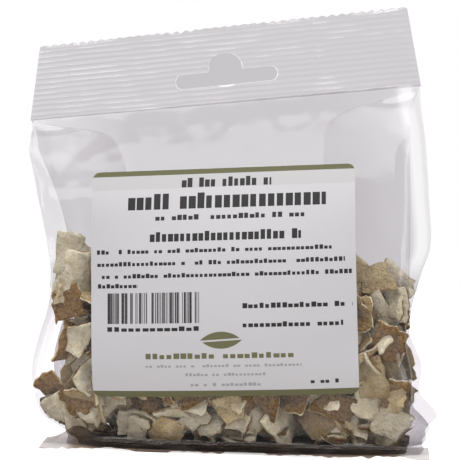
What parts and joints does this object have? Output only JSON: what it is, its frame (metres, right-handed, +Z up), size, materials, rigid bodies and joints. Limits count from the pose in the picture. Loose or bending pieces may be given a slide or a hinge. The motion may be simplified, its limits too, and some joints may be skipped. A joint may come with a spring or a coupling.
{
  "type": "bag of dried orange peel",
  "caption": "Clear side-gusset film bag of diced dried orange peel, standing on its foot, with a ribbed header, a hang slot and a plain-printed paper label",
  "frame": {"origin": "under the middle of the object's box, on the surface that the bag stands on", "axes": "+Z up the standing bag, -Y out of the labelled front, +X to the right of someone who looks at the label"},
  "size_m": [0.14, 0.0474, 0.1499],
  "materials": {
    "film": "clear glossy packing film, slightly grey, ribbed where it is sealed",
    "label_paper": "smooth coated paper, white with green bands and grey and black print",
    "peel": "dry matte citrus peel, cream pith on one side and dimpled tan zest on the other, with browned edges"
  },
  "bodies": {
    "root": {"bag": "film", "label": "label_paper"}
  },
  "joints": []
}
